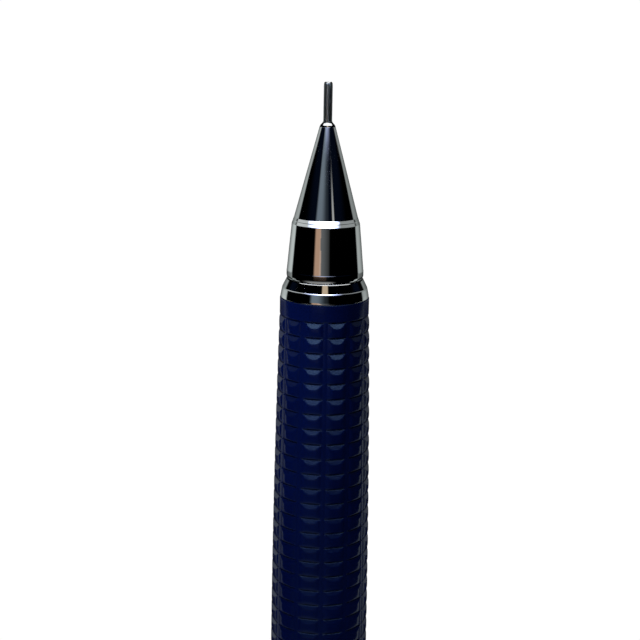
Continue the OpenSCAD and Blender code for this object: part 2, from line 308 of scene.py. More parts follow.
CHROME_COUNT = 168
THREAD_PITCH = 0.5
THREAD_DEPTH = 0.08
THREAD_FADE = 0.45    # length over which the thread fades at both ends
THREAD_TOP = GROOVE + 1.6
NOSE_CORE = 2.72
COLLAR_CORE = 2.84

# (height above the foremost groove, radius, corner rounding)
NOSE_OUTSIDE = [
    (3.43, 2.74, 0.0), (3.43, 3.44, 0.03), (3.55, 3.50, 0.05), (3.68, 3.535, 0.08),
    (4.14, 3.535, 0.02), (4.19, 3.517, 0.02), (5.35, 3.41, 0.6), (6.47, 3.31, 0.6),
    (7.58, 3.20, 0.6), (8.45, 3.120, 0.03), (8.735, 3.0175, 0.003), (8.765, 3.0155, 0.003),
    (9.03, 2.917, 0.02), (15.98, 1.058, 1.0), (17.20, 0.731, 0.03), (17.36, 0.665, 0.08),
    (17.55, 0.49, 0.05), (17.60, 0.462, 0.01), (17.65, 0.455, 0.0), (17.63, 0.45, 0.0)]
NOSE_BORE = [
    (11.55, 0.475, 0.0), (11.55, 1.3, 0.0), (9.62, 1.3, 0.0), (9.62, 1.6, 0.02),
    (8.98, 1.6, 0.0), (8.98, 1.95, 0.02), (5.82, 1.95, 0.0), (5.82, 2.3, 0.03),
    (-4.76, 2.3, 0.0), (-4.80, 2.34, 0.0)]
COLLAR_OUTSIDE = [
    (-5.55, 3.12, 0.0), (-5.47, 3.18, 0.03), (1.63, 3.18, 0.0), (1.63, 4.055, 0.02),
    (1.67, 4.075, 0.03), (1.80, 4.062, 0.2), (2.00, 4.028, 0.2), (2.49, 3.928, 0.02),
    (2.59, 3.891, 0.02), (3.330, 3.527, 0.06), (3.395, 3.450, 0.05), (3.395, 2.90, 0.03),
    (3.36, 2.84, 0.0)]


def thread_rings(core, bottom):
    """Rings of a right-hand screw thread with a rounded trapezium profile, from rear to front."""
    rings = []
    for k in range(101):
        z = bottom + (THREAD_TOP - bottom) * k / 100
        fade = max(0.0, min(1.0, (z - bottom) / THREAD_FADE, (THREAD_TOP - z) / THREAD_FADE))
        ring = []
        for i in range(CHROME_COUNT):
            angle = 2 * math.pi * i / CHROME_COUNT
            phase = ((z - THREAD_PITCH * angle / (2 * math.pi)) / THREAD_PITCH) % 1.0
            lift = min(1.0, max(0.0, 2.2 * (0.5 - abs(2 * phase - 1)) + 0.5))
            lift = lift * lift * (3 - 2 * lift)
            r = core + THREAD_DEPTH * lift * fade
            ring.append((r * math.cos(angle), r * math.sin(angle), z))
        rings.append(ring)
    return rings


def groove_circles(table):
    return [circle(r, z, CHROME_COUNT) for r, z in from_groove(table)]


def nose():
    rings = groove_circles([(-4.8, 2.60), (-4.76, 2.68), (-4.68, NOSE_CORE)])
    rings += thread_rings(NOSE_CORE, GROOVE - 4.6)
    rings += groove_circles([(1.7, NOSE_CORE), (3.35, NOSE_CORE)])
    rings += turned_rings(from_groove(NOSE_OUTSIDE + NOSE_BORE), 0.03, CHROME_COUNT)
    return ring_mesh("nose_shell", rings, 30.0)


def collar():
    rings = turned_rings(from_groove(COLLAR_OUTSIDE), 0.03, CHROME_COUNT)
    rings += groove_circles([(3.3, COLLAR_CORE), (1.7, COLLAR_CORE)])
    rings += reversed(thread_rings(COLLAR_CORE, GROOVE - 4.7))
    rings += groove_circles([(-4.8, COLLAR_CORE), (-5.5, COLLAR_CORE), (-5.55, 2.88)])
    return ring_mesh("nose_collar", rings, 30.0)


# ------------------------------------------------------------------ outlines of turned pieces

# (height above the foremost groove, radius, corner rounding)
SLEEVE = [
    (11.56, 0.40, 0.0), (11.56, 0.465, 0.0), (17.62, 0.44, 0.0), (17.64, 0.40, 0.0),
    (20.86, 0.40, 0.3), (21.08, 0.385, 0.12), (21.185, 0.33, 0.05), (21.2, 0.312, 0.01),
    (21.17, 0.30, 0.01), (11.6, 0.30, 0.0)]
LEAD = [
    (-24.9, 0.0), (-24.9, 0.265, 0.0), (-24.86, 0.28, 0.02), (16.98, 0.28, 0.03),
    (17.07, 0.24, 0.03), (17.1, 0.12, 0.02), (17.1, 0.0)]

# (radius, height, corner rounding)
CAP = [
    (0.0, 0.06), (1.9, 0.06, 0.3), (2.32, 0.0, 0.3), (2.52, 0.0, 0.12), (2.98, 0.30, 0.30),
    (3.05, 0.75, 0.3), (3.05, 12.22, 0.05), (2.98, 12.30, 0.03), (2.56, 12.30, 0.03),
    (2.50, 12.2, 0.02), (2.50, 1.0, 0.1), (0.0, 1.0)]
REAR_RING = [
    (3.16, 9.53, 0.03), (3.72, 9.50, 0.1), (4.06, 9.70, 0.3), (4.20, 10.25, 0.3),
    (4.20, 13.30, 0.07), (4.12, 13.40, 0.03), (3.78, 13.40, 0.02), (3.77, 13.35, 0.0),
    (3.77, 10.51, 0.0), (3.16, 10.51, 0.0), (3.15, 10.48, 0.0), (3.15, 9.56, 0.0)]
CLIP_RING = [
    (3.80, 13.45, 0.02), (4.29, 13.45, 0.05), (4.35, 13.52, 0.06), (4.35, 19.33, 0.06),
    (4.29, 19.40, 0.05), (3.80, 19.40, 0.02), (3.77, 19.36, 0.0), (3.77, 13.49, 0.0)]
ERASER = [
    (0.0, 1.60), (0.9, 1.62, 0.8), (1.42, 1.74, 0.25), (1.60, 1.98, 0.3), (1.60, 8.95, 0.04),
    (1.55, 9.0, 0.02), (0.0, 9.0)]
ERASER_CUP = [
    (1.66, 5.2, 0.03), (2.24, 5.2, 0.06), (2.30, 5.27, 0.06), (2.30, 5.87, 0.05),
    (2.24, 5.95, 0.03), (1.86, 5.95, 0.02), (1.85, 5.98, 0.0), (1.85, 10.08, 0.04),
    (1.76, 10.2, 0.04), (0.24, 10.2, 0.0), (0.23, 10.17, 0.0), (0.23, 9.1, 0.0),
    (1.61, 9.1, 0.0), (1.61, 5.25, 0.02)]
WIRE = [
    (0.0, 9.12), (0.19, 9.12, 0.0), (0.22, 9.16, 0.03), (0.22, 23.55, 0.1), (0.19, 23.78, 0.1),
    (0.12, 23.93, 0.05), (0.0, 24.0)]


# ------------------------------------------------------------------ pocket clip

CLIP_THICK = 0.6
CLIP_WIDTH = 3.4
CLIP_INNER = 4.40     # inner radius of the pad on the band
# (height, distance from the axis) along the inner face
CLIP_PATH = [(14.0, CLIP_INNER), (18.9, CLIP_INNER), (21.6, 5.25), (24.2, 5.85), (50.2, 5.25),
             (52.4, 4.72), (53.4, 4.62), (54.4, 4.78), (56.3, 5.5)]


def round_off(distance, reach):
    """A quarter circle that grows from 0 at the end to 1 at `reach`."""
    near = min(distance / reach, 1.0)
    return math.sqrt(max(0.0, 1 - (1 - near) ** 2))


def clip_section(half, thick):
    """(sideways, outward) points round the strip: one half, then the same turned over."""
    r = min(0.16, half * 0.6, thick * 0.48)
    quarter = [math.pi / 2 * j / 5 for j in range(1, 5)]
    points = [(-half + r + (2 * half - 2 * r) * j / 16, thick) for j in range(17)]
    points += [(half - r + r * math.sin(q), thick - r + r * math.cos(q)) for q in quarter]
    points += [(half, thick - r), (half, r)]
    points += [(half - r + r * math.cos(q), r - r * math.sin(q)) for q in quarter]
    return points + [(-x, thick - h) for x, h in points]


def clip():
    """One strip of spring steel with rounded edges, its pad curved round the band."""
    path = [CLIP_PATH[0]]
    for before, corner, after in zip(CLIP_PATH, CLIP_PATH[1:], CLIP_PATH[2:]):
        path += corner_arc(before, corner, after, radius=2.2, step=5.0, reach=0.46)
    points = [np.array(p, float) for p in path + [CLIP_PATH[-1]]]
    lengths = [0.0]
    for a, b in zip(points, points[1:]):
        lengths.append(lengths[-1] + float(np.hypot(*(b - a))))
    total = lengths[-1]
    # even stations along the strip, denser at both ends
    stations = np.unique(np.concatenate([
        np.linspace(0, total, 170), total - np.linspace(0, 1.4, 22), np.linspace(0, 1.0, 14)]))
    heights = np.interp(stations, lengths, [p[0] for p in points])
    distances = np.interp(stations, lengths, [p[1] for p in points])
    slope_z, slope_d = np.gradient(heights, stations), np.gradient(distances, stations)
    norm = np.hypot(slope_z, slope_d)
    slope_z, slope_d = slope_z / norm, slope_d / norm
    rings = []
    for along, z, distance, dir_z, dir_d in zip(stations, heights, distances, slope_z, slope_d):
        to_tip = total - along
        half = (CLIP_WIDTH - 0.7 * max(0.0, z - 24) / 30.6) / 2
        half *= round_off(to_tip, 1.35) * 0.93 + 0.07
        half -= 0.35 * (1 - round_off(along, 0.35))
        thick = CLIP_THICK * (0.55 + 0.45 * round_off(to_tip, 0.2))
        # share of the pad's curvature: full on the band, gone where the strip has risen
        bend = min(1.0, max(0.0, 1 - (z - 19.2) / 4.0))
        bend = bend * bend * (3 - 2 * bend)
        ring = []
        for x, h in clip_section(half, thick):
            h += (CLIP_THICK - thick) / 2
            # slight crown over the width, more on the outer face
            h -= 0.05 * (h / CLIP_THICK) * (x / (CLIP_WIDTH / 2)) ** 2 * (1 - bend)
            radius = CLIP_INNER + h
            angle = x / (CLIP_INNER + CLIP_THICK / 2)
            side = x * (1 - bend) + radius * math.sin(angle) * bend
            out = distance + h * dir_z + (radius * math.cos(angle) - radius) * bend
            ring.append((side, -out, z - h * dir_d))
        rings.append(ring)

    def shrunk(ring):
        centre = np.mean(np.array(ring), axis=0)
        return [tuple(centre + (np.array(p) - centre) * 0.6) for p in ring]

    first, last = rings[0], rings[-1]
    rings = [centre_of(first), shrunk(first)] + rings + [shrunk(last), centre_of(last)]
    return ring_mesh("clip_strip", rings, 40.0)


# ------------------------------------------------------------------ return spring

SPRING_REAR = GROOVE - 19.78
SPRING_FRONT = GROOVE - 8.42
SPRING_WIRE = 0.2     # wire radius
SPRING_MEAN = 2.15    # coil radius at the middle of the wire
SPRING_TURNS = 8
SPRING_CLOSED = 0.45  # rise of the first and of the last turn
SPRING_GROUND = 0.03  # cut from both flat ends


def spring():
    inner = SPRING_TURNS - 2
    length = SPRING_FRONT - SPRING_REAR
    opened = (length - 2 * SPRING_WIRE - 2 * SPRING_CLOSED) / inner
    rings = []
    for j in range(SPRING_TURNS * 40 + 1):
        turn = j / 40
        if turn < 1:
            rise = turn * SPRING_CLOSED
        elif turn < SPRING_TURNS - 1:
            rise = SPRING_CLOSED + (turn - 1) * opened
        else:
            rise = SPRING_CLOSED + inner * opened + (turn - SPRING_TURNS + 1) * SPRING_CLOSED
        angle = 2 * math.pi * turn
        ring = []
        for i in range(12):
            around = 2 * math.pi * i / 12
            r = SPRING_MEAN + SPRING_WIRE * math.cos(around)
            z = SPRING_REAR + SPRING_WIRE + rise + SPRING_WIRE * math.sin(around)
            z = min(max(z, SPRING_REAR + SPRING_GROUND), SPRING_FRONT - SPRING_GROUND)
            ring.append((r * math.cos(angle), r * math.sin(angle), z))
        rings.append(ring)
    rings = [centre_of(rings[0])] + rings + [centre_of(rings[-1])]
    return ring_mesh("spring_coil", rings, 40.0)


# ------------------------------------------------------------------ pieces

body_obj = body()
nose_obj = nose()
collar_obj = collar()
sleeve_obj = lathe("lead_pipe", from_groove(SLEEVE), rounding=0.02, count=72, sharp=40.0)
lead_obj = lathe("lead_rod", from_groove(LEAD), rounding=0.02, count=40, sharp=40.0)
cap_obj = lathe("cap_shell", CAP)
ring_obj = lathe("rear_ring", REAR_RING)
band_obj = lathe("clip_ring", CLIP_RING)
eraser_obj = lathe("eraser_stub", ERASER, rounding=0.05, count=96)
cup_obj = lathe("eraser_cup", ERASER_CUP, count=96)
wire_obj = lathe("clearing_wire", WIRE, rounding=0.02, count=32, sharp=50.0)
clip_obj = clip()
spring_obj = spring()

# object, body it rides on, CAD piece it replaces, material slot
PIECES = [
    (body_obj, "body_shell", "barrel", "body_plastic"),
    (collar_obj, "body_shell", "front_collar", "chrome_plate"),
    (nose_obj, "nose", "nose_cone", "chrome_plate"),
    (sleeve_obj, "nose_carrier", "lead_sleeve", "sleeve_steel"),
    (lead_obj, "lead_in_use", "lead", "graphite"),
    (cap_obj, "cap", "push_cap", "chrome_plate"),
    (ring_obj, "body_shell", "tail_ring", "chrome_plate"),
    (band_obj, "body_shell", "clip_band", "clip_chrome"),
    (clip_obj, "clip", "clip_arm", "clip_chrome"),
    (eraser_obj, "eraser_unit", "eraser", "eraser_rubber"),
    (cup_obj, "eraser_unit", "eraser_holder", "inner_plastic"),
    (wire_obj, "eraser_unit", "clearing_pin", "spring_steel"),
    (spring_obj, "body_shell", "return_spring", "spring_steel"),
]
for ob, body_name, cad_piece, slot_name in PIECES:
    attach(ob, body_name)
    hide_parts(cad_piece)
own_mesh(spring_obj)


# ------------------------------------------------------------------ shader helpers

NOISE_SPAN = (0.3, 0.7)   # the part of 0..1 that most noise values fall in
FALLING = (1.0, 0.0)


class NodeNet:
    """Writes shader nodes; values may be numbers, colours or sockets."""

    def __init__(self, tree):
        self.tree = tree
        self.tree.nodes.clear()

    def put(self, socket, value):
        if isinstance(value, bpy.types.NodeSocket):
            self.tree.links.new(value, socket)
        elif value is not None:
            socket.default_value = (*value, 1.0) if socket.type == "RGBA" else value

    def node(self, kind, inputs=None, **props):
        new = self.tree.nodes.new("ShaderNode" + kind)
        for key, value in props.items():
            setattr(new, key, value)
        for key, value in (inputs or {}).items():
            self.put(new.inputs[key], value)
        return new

    def math(self, operation, *values):
        return self.node("Math", dict(enumerate(values)), operation=operation).outputs[0]

    def times(self, first, *others):
        for other in others:
            first = self.math("MULTIPLY", first, other)
        return first

    def ramp(self, x, over=NOISE_SPAN, to=(0.0, 1.0), kind="SMOOTHSTEP"):
        inputs = dict(enumerate((x, *over, *to)))
        return self.node("MapRange", inputs, interpolation_type=kind, clamp=True).outputs[0]

    def window(self, x, span, soft):
        """1 inside the span, 0 outside, with soft edges."""
        lo, hi = span
        return self.times(self.ramp(x, over=(lo - soft, lo + soft)),
                          self.ramp(x, over=(hi - soft, hi + soft), to=FALLING))

    def mix(self, share, a, b):
        return self.node("Mix", {0: share, 6: a, 7: b}, data_type="RGBA").outputs[2]

    def split(self, vector):
        return self.node("SeparateXYZ", {0: vector}).outputs

    def object_position(self):
        return self.node("TexCoord").outputs["Object"]

    def coords(self, scale=(1, 1, 1)):
        inputs = {"Vector": self.object_position(), "Scale": scale}
        return self.node("Mapping", inputs).outputs[0]

    def noise(self, vector, scale, detail=3.0, rough=0.5):
        inputs = {"Vector": vector, "Scale": scale, "Detail": detail, "Roughness": rough}
        return self.node("TexNoise", inputs).outputs[0]

    def bump(self, height, strength, distance, normal=None):
        inputs = {"Strength": strength, "Distance": distance, "Height": height, "Normal": normal}
        return self.node("Bump", inputs).outputs[0]

    def occlusion(self, distance, samples):
        return self.node("AmbientOcclusion", {"Distance": distance}, samples=samples).outputs["AO"]

    def facing(self):
        return self.node("LayerWeight", {0: 0.5}).outputs["Facing"]

    def principled(self, **inputs):
        named = {key.replace("_", " "): value for key, value in inputs.items()}
        return self.node("BsdfPrincipled", named).outputs[0]

    def blend(self, share, a, b):
        return self.node("MixShader", {0: share, 1: a, 2: b}).outputs[0]

    def output(self, shader, kind="OutputMaterial"):
        self.node(kind, {"Surface": shader})


def new_material(name):
    mat = bpy.data.materials.new(name)
    mat.use_nodes = True
    return mat, NodeNet(mat.node_tree)


# ------------------------------------------------------------------ materials

def navy_plastic():
    mat, net = new_material("navy_moulded_plastic")
    pos = net.coords()
    cloud = net.noise(pos, scale=90.0, detail=4.0, rough=0.55)
    grain = net.noise(pos, scale=5200.0, detail=2.0)
    base = net.mix(net.ramp(cloud), (0.0006, 0.0030, 0.034), (0.0009, 0.0044, 0.046))
    # ridges that the fingers rub: real polish lowers their roughness, and a painted highlight makes
    # their base colour lighter
    polish_and_painted_sheen = net.ramp(net.node("NewGeometry").outputs["Pointiness"], over=(0.505, 0.56))
    patches = net.noise(pos, scale=420.0, detail=4.0, rough=0.6)
    polish_and_painted_sheen = net.times(polish_and_painted_sheen, net.ramp(patches, over=(0.42, 0.62)))
    # painted highlight: the rubbed ridges get a lighter navy base colour
    base = net.mix(net.times(polish_and_painted_sheen, 0.35), base, (0.0040, 0.0085, 0.060))
    smear = net.noise(pos, scale=260.0, detail=5.0, rough=0.62)
    rough = net.math("ADD", net.ramp(smear, to=(0.12, 0.19)), net.times(polish_and_painted_sheen, -0.05))
    # lengthwise scratches
    scratch = net.noise(net.coords((1.0, 1.0, 0.10)), scale=3200.0, detail=2.0)
    rough = net.math("ADD", rough, net.times(net.ramp(scratch, over=(0.62, 0.72)), 0.07))
    fine = net.bump(grain, strength=0.05, distance=0.00003)
    normal = net.bump(net.noise(pos, scale=1300.0), strength=0.10, distance=0.00005, normal=fine)
    # painted shade: the base colour darkened in the hollows by an occlusion mask
    painted_hollow_shade = net.ramp(net.occlusion(0.0006, samples=6), over=(0.5, 0.97), to=(0.92, 0.0))
    base = net.mix(painted_hollow_shade, base, (0.0003, 0.0008, 0.004))
    level = net.ramp(net.facing(), over=(0.55, 0.80), to=(0.23, 0.11))
    net.output(net.principled(
        Base_Color=base, Roughness=rough, IOR=1.5, Specular_IOR_Level=level,
        Specular_Tint=(0.52, 0.80, 1.0), Normal=normal))
    return mat


def chrome(name, tint, haze):
    """Polished plate; `haze` is its roughness range."""
    mat, net = new_material(name)
    pos = net.coords()
    smear = net.noise(pos, scale=180.0, detail=5.0, rough=0.6)
    dull = tuple(c * share for c, share in zip(tint, (0.93, 0.935, 0.94)))
    base = net.mix(net.ramp(smear, over=(0.3, 0.75)), tint, dull)
    patches = net.noise(pos, scale=420.0, detail=6.0, rough=0.65)
    hairs = net.noise(net.coords((1.0, 1.0, 9.0)), scale=900.0, rough=0.6)
    rough = net.math("ADD", net.ramp(patches, over=(0.45, 0.75), to=haze),
                     net.ramp(hairs, over=(0.66, 0.74), to=(0.0, 0.045)))
    normal = net.bump(net.noise(pos, scale=420.0, detail=2.0), strength=0.02, distance=0.00002)
    polish = net.principled(Base_Color=base, Metallic=1.0, Roughness=rough, Normal=normal)
    # the handled rear parts carry a film of fine rubbing marks over the polish
    z = net.split(net.object_position())[2]
    film = net.principled(Base_Color=(0.86, 0.87, 0.88), Metallic=1.0,
                          Roughness=net.ramp(smear, to=(0.42, 0.58)))
    share = net.times(net.ramp(z, over=(0.045, 0.070), to=FALLING),
                      net.ramp(smear, to=(0.24, 0.36)))
    net.output(net.blend(share, polish, film))
    return mat


def drawn_steel(name, tint, roughness, along, polish_and_painted_light=False):
    """Steel with drawing lines stretched by 1 / `along`; its front ends may be polished and get a
    painted highlight, its grazing sides painted shade.
    """
    mat, net = new_material(name)
    lines = net.noise(net.coords((1.0, 1.0, along)), scale=9000.0, rough=0.6)
    cloud = net.noise(net.coords(), scale=700.0)
    base = net.mix(net.ramp(cloud), tint, tuple(c * 0.86 for c in tint))
    rough = net.math("ADD", net.ramp(lines, to=(roughness * 0.8, roughness * 1.25)), 0.0)
    if polish_and_painted_light:
        normal_z = net.split(net.node("NewGeometry").outputs["Normal"])[2]
        # upward-facing ends: real polish lowers the roughness, and a painted highlight turns the
        # base colour nearly white
        front = net.ramp(normal_z, over=(0.25, 0.6))
        base = net.mix(front, base, (0.95, 0.95, 0.95))
        rough = net.times(rough, net.ramp(front, over=(0.0, 1.0), to=(1.0, 0.3)))
        # painted shade: the base darkened where the sleeve is seen at a grazing angle, but not on
        # the ends
        shade = net.times(net.ramp(net.facing(), over=(0.25, 0.75)),
                          net.ramp(front, over=(0.0, 1.0), to=(0.72, 0.0)))
        base = net.mix(shade, base, (0.05, 0.052, 0.055))
    net.output(net.principled(Base_Color=base, Metallic=1.0, Roughness=rough,
                              Normal=net.bump(lines, strength=0.12, distance=0.00001)))
    return mat


def brass():
    mat, net = new_material("turned_brass")
    rings = net.noise(net.coords((1.0, 1.0, 40.0)), scale=320.0, rough=0.6)
    cloud = net.noise(net.coords(), scale=500.0, detail=4.0, rough=0.6)
    base = net.mix(net.ramp(cloud, over=(0.35, 0.7)), (0.80, 0.58, 0.26), (0.62, 0.42, 0.17))
    net.output(net.principled(
        Base_Color=base, Metallic=1.0, Roughness=net.ramp(rings, to=(0.20, 0.34)),
        Normal=net.bump(rings, strength=0.15, distance=0.00001)))
    return mat


def moulded_natural():
    mat, net = new_material("natural_polymer")
    pos = net.coords()
    cloud = net.noise(pos, scale=260.0, detail=4.0, rough=0.55)
    smear = net.noise(pos, scale=900.0, detail=4.0, rough=0.6)
    grain = net.noise(pos, scale=4200.0, detail=2.0)
    net.output(net.principled(
        Base_Color=net.mix(net.ramp(cloud), (0.74, 0.74, 0.70), (0.62, 0.62, 0.57)),
        Roughness=net.ramp(smear, to=(0.34, 0.50)),
        Subsurface_Weight=0.15, Subsurface_Scale=0.0006,
        Normal=net.bump(grain, strength=0.12, distance=0.00002)))
    return mat


def rubber_dark():
    mat, net = new_material("brake_rubber_black")
    pos = net.coords()
    cloud = net.noise(pos, scale=900.0, detail=4.0, rough=0.6)
    smear = net.noise(pos, scale=2600.0, rough=0.6)
    net.output(net.principled(
        Base_Color=net.mix(cloud, (0.018, 0.018, 0.020), (0.035, 0.035, 0.037)),
        Roughness=net.ramp(smear, to=(0.62, 0.85)),
        Normal=net.bump(net.noise(pos, scale=5200.0), strength=0.25, distance=0.00002)))
    return mat


def graphite():
    mat, net = new_material("polymer_graphite")
    fleck = net.noise(net.coords((1.0, 1.0, 0.25)), scale=7000.0, detail=4.0, rough=0.65)
    base = net.mix(net.ramp(fleck, over=(0.35, 0.7)), (0.030, 0.030, 0.033), (0.085, 0.085, 0.092))
    net.output(net.principled(
        Base_Color=base, Roughness=net.ramp(fleck, to=(0.34, 0.55)), Metallic=0.25,
        Normal=net.bump(fleck, strength=0.2, distance=0.00001)))
    return mat


def eraser_vinyl():
    mat, net = new_material("eraser_vinyl")
    pos = net.coords()
    # the rubbed end is grey from use
    z = net.split(net.object_position())[2]
    patches = net.noise(pos, scale=900.0, detail=5.0, rough=0.65)
    used = net.times(net.ramp(z, over=(0.0026, 0.0015)), net.ramp(patches, over=(0.35, 0.7)))
    cloud = net.noise(pos, scale=500.0, detail=4.0, rough=0.6)
    base = net.mix(net.ramp(cloud), (0.80, 0.80, 0.77), (0.70, 0.70, 0.66))
    base = net.mix(net.times(used, 0.75), base, (0.20, 0.20, 0.21))
    smear = net.noise(pos, scale=2200.0, rough=0.6)
    grain = net.noise(pos, scale=3800.0, detail=4.0, rough=0.6)
    net.output(net.principled(
        Base_Color=base, Roughness=net.ramp(smear, to=(0.6, 0.8)),
        Subsurface_Weight=0.1, Subsurface_Scale=0.0005,
        Normal=net.bump(grain, strength=0.3, distance=0.00003)))
    return mat


MATERIALS = {
    "body_plastic": navy_plastic(),
    "chrome_plate": chrome("polished_plate", tint=(0.80, 0.82, 0.825), haze=(0.028, 0.065)),
    "clip_chrome": chrome("clip_plate", tint=(0.78, 0.80, 0.81), haze=(0.04, 0.085)),
    "sleeve_steel": drawn_steel("drawn_sleeve_steel", tint=(0.40, 0.46, 0.47), roughness=0.40,
                                along=0.06, polish_and_painted_light=True),
    "spring_steel": drawn_steel("spring_wire_steel", tint=(0.60, 0.61, 0.62), roughness=0.22,
                                along=1.0),
    "chuck_brass": brass(),
    "brake_rubber": rubber_dark(),
    "inner_plastic": moulded_natural(),
    "graphite": graphite(),
    "eraser_rubber": eraser_vinyl(),
}


def paint(ob, slot_name):
    ob.data.materials.clear()
    ob.data.materials.append(MATERIALS[slot_name])


for ob, _, _, slot_name in PIECES:
    paint(ob, slot_name)
# the CAD pieces take the same materials
slot_of = {s["node"]: s["material_slot"] for s in frame["record"].get("subparts", []) if "node" in s}
for node_name, ob in frame["nodes"].items():
    if slot_of.get(node_name) in MATERIALS:
        paint(ob, slot_of[node_name])


# ------------------------------------------------------------------ floor

FLOOR_COUNT = 96
FLOOR_RADII = [6, 14, 30, 70, 160, 400, 1000, 2600]
WHITE_LEVEL = 1.02    # brightness of floor and background as the camera sees them


def table_material():
    """White with a painted soft contact shade for the camera, matt paper for all other rays."""
    mat, net = new_material("pale_table")
    seen = net.node("LightPath").outputs["Is Camera Ray"]
    # painted contact shadow: the white glow the camera sees is darkened where an occlusion mask
    # finds the pencil close by
    open_share = net.ramp(net.occlusion(0.012, samples=8), over=(0.0, 1.0), kind="LINEAR")
    shade = net.mix(open_share, (0.42, 0.43, 0.45), (1.0, 1.0, 1.0))
    glow = net.node("Emission", {0: shade, 1: WHITE_LEVEL}).outputs[0]
    cloud = net.noise(net.coords(), scale=60.0, detail=4.0)
    tone = net.mix(cloud, (0.80, 0.80, 0.80), (0.84, 0.84, 0.84))
    paper = net.node("BsdfDiffuse", {0: tone}).outputs[0]
    net.output(net.blend(seen, paper, glow))
    return mat


def floor():
    """A round table top of concentric rings."""
    count = FLOOR_COUNT
    verts = [(0.0, 0.0, 0.0)]
    for radius in FLOOR_RADII:
        verts += circle(radius, 0.0, count)
    faces = [(0, 1 + i, 1 + (i + 1) % count) for i in range(count)]
    for k in range(len(FLOOR_RADII) - 1):
        inner, outer = 1 + k * count, 1 + (k + 1) * count
        for i in range(count):
            j = (i + 1) % count
            faces.append((inner + i, outer + i, outer + j, inner + j))
    mesh = bpy.data.meshes.new("table_top")
    mesh.from_pydata([tuple(c * MM for c in v) for v in verts], [], faces)
    mesh.update()
    ob = bpy.data.objects.new("table_top", mesh)
    scene.collection.objects.link(ob)
    mesh.materials.append(table_material())
    ob.visible_glossy = False
    ob.location.z = -0.00001
    ob.parent = frame["bodies"]["cap"]


floor()


# ------------------------------------------------------------------ studio

# Reflections see glowing cards. Each card is (mask, colour, strength); masks are made from
# `turn` (degrees round Z), `away` (its absolute value) and `elev` (degrees above the horizon).

def wall_cards(net, turn, away, elev):
    pale = (0.93, 1.0, 0.975)
    # pale wall behind the object
    back = net.times(net.ramp(away, over=(114.0, 121.0)),
                     net.window(elev, (-70.0, 9.0), soft=2.0),
                     net.ramp(turn, over=(-40.0, 40.0), to=(1.0, 0.7)))
    fall = net.times(net.ramp(away, over=(130.0, 158.0), to=(1.0, 0.42)),
                     net.ramp(away, over=(154.0, 174.0), to=(1.0, 0.32)),
                     net.ramp(elev, over=(-6.0, 4.0), to=(1.0, 0.68)))
    dim = net.times(net.ramp(away, over=(122.0, 130.0), to=(0.5, 0.13)),
                    net.ramp(elev, over=(-26.0, -14.0), to=(0.45, 1.0)))
    low = net.math("MAXIMUM", dim, net.ramp(elev, over=(-13.0, -8.5)))
    # brighter low strip at either side of the wall
    strip = net.times(net.window(away, (107.0, 122.0), soft=2.0),
                      net.ramp(elev, over=(-15.5, -12.0), to=FALLING),
                      net.ramp(turn, over=(-40.0, 40.0), to=(0.72, 1.25)),
                      net.ramp(elev, over=(-27.0, -16.0), to=(0.65, 1.0)))
    # paler upper band along a curve, which comes further round
    curve = net.math("MULTIPLY_ADD", away, net.math("MULTIPLY_ADD", away, -0.00108, -0.06), 33.2)
    upper = net.times(net.window(away, (44.0, 119.0), soft=5.0),
                      net.window(net.math("SUBTRACT", elev, curve), (-2.4, 2.3), soft=0.8))
    upper = net.times(upper, net.ramp(turn, over=(-40.0, 40.0), to=(1.0, 0.55)))
    return [(net.times(back, net.times(fall, low)), pale, 0.62),
            (strip, pale, 0.62),
            (upper, (0.96, 1.0, 0.99), 0.62)]


def front_cards(net, turn, elev):
    def box(turns, elevs, soft):
        return net.times(net.window(turn, turns, soft[0]), net.window(elev, elevs, soft[1]))

    slant = net.math("MULTIPLY_ADD", elev, 1.6, turn)
    tan = net.times(box((-33.0, 20.0), (-10.8, 3.5), soft=(3.5, 0.8)),
                    net.ramp(slant, over=(-17.0, -11.5), to=FALLING))
    grey = net.times(box((-17.0, 12.0), (-10.8, 3.5), soft=(3.5, 0.8)),
                     net.ramp(turn, over=(-14.0, 15.0), to=(1.0, 0.25)))
    blue = net.times(box((-36.0, 9.0), (4.0, 25.0), soft=(5.0, 1.5)),
                     net.ramp(turn, over=(-22.0, 4.0), to=(1.0, 0.12)))
    return [(tan, (1.0, 0.62, 0.42), 0.50),
            (grey, (0.95, 1.0, 1.03), 0.135),
            (blue, (0.80, 0.98, 1.15), 0.195),
            (box((-118.0, 118.0), (16.0, 25.0), soft=(3.0, 3.0)), (0.15, 0.35, 1.0), 0.008),
            (box((23.5, 31.0), (14.0, 21.3), soft=(1.5, 1.2)), (1.0, 1.0, 0.97), 0.42),
            (box((-8.0, 10.0), (33.0, 46.0), soft=(2.0, 1.2)), (1.0, 0.77, 0.54), 0.60)]


def lamp_cards(net, turn, away, elev):
    """The long lamp in three tones, and the ceiling."""
    bowed = net.math("MULTIPLY_ADD", away, 0.05, elev)
    lamp = net.times(net.window(turn, (-68.0, 54.0), soft=2.0),
                     net.ramp(turn, over=(42.0, 52.0), to=(1.0, 0.3)),
                     net.ramp(bowed, over=(32.2, 33.8), to=FALLING))
    under = net.times(net.ramp(elev, over=(23.0, 26.6)),
                      net.ramp(elev, over=(27.0, 29.5), to=FALLING),
                      net.ramp(turn, over=(-30.0, 38.0), to=(1.15, 0.65)))
    return [(net.times(lamp, net.ramp(elev, over=(26.6, 29.6))), (0.43, 0.50, 0.80), 9.0),
            (net.times(lamp, net.ramp(elev, over=(28.9, 31.2))), (1.0, 1.0, 0.60), 5.2),
            (net.times(lamp, under), (0.58, 0.66, 1.0), 1.5),
            (net.ramp(elev, over=(47.5, 50.5)), (1.0, 1.0, 1.0), 1.35)]


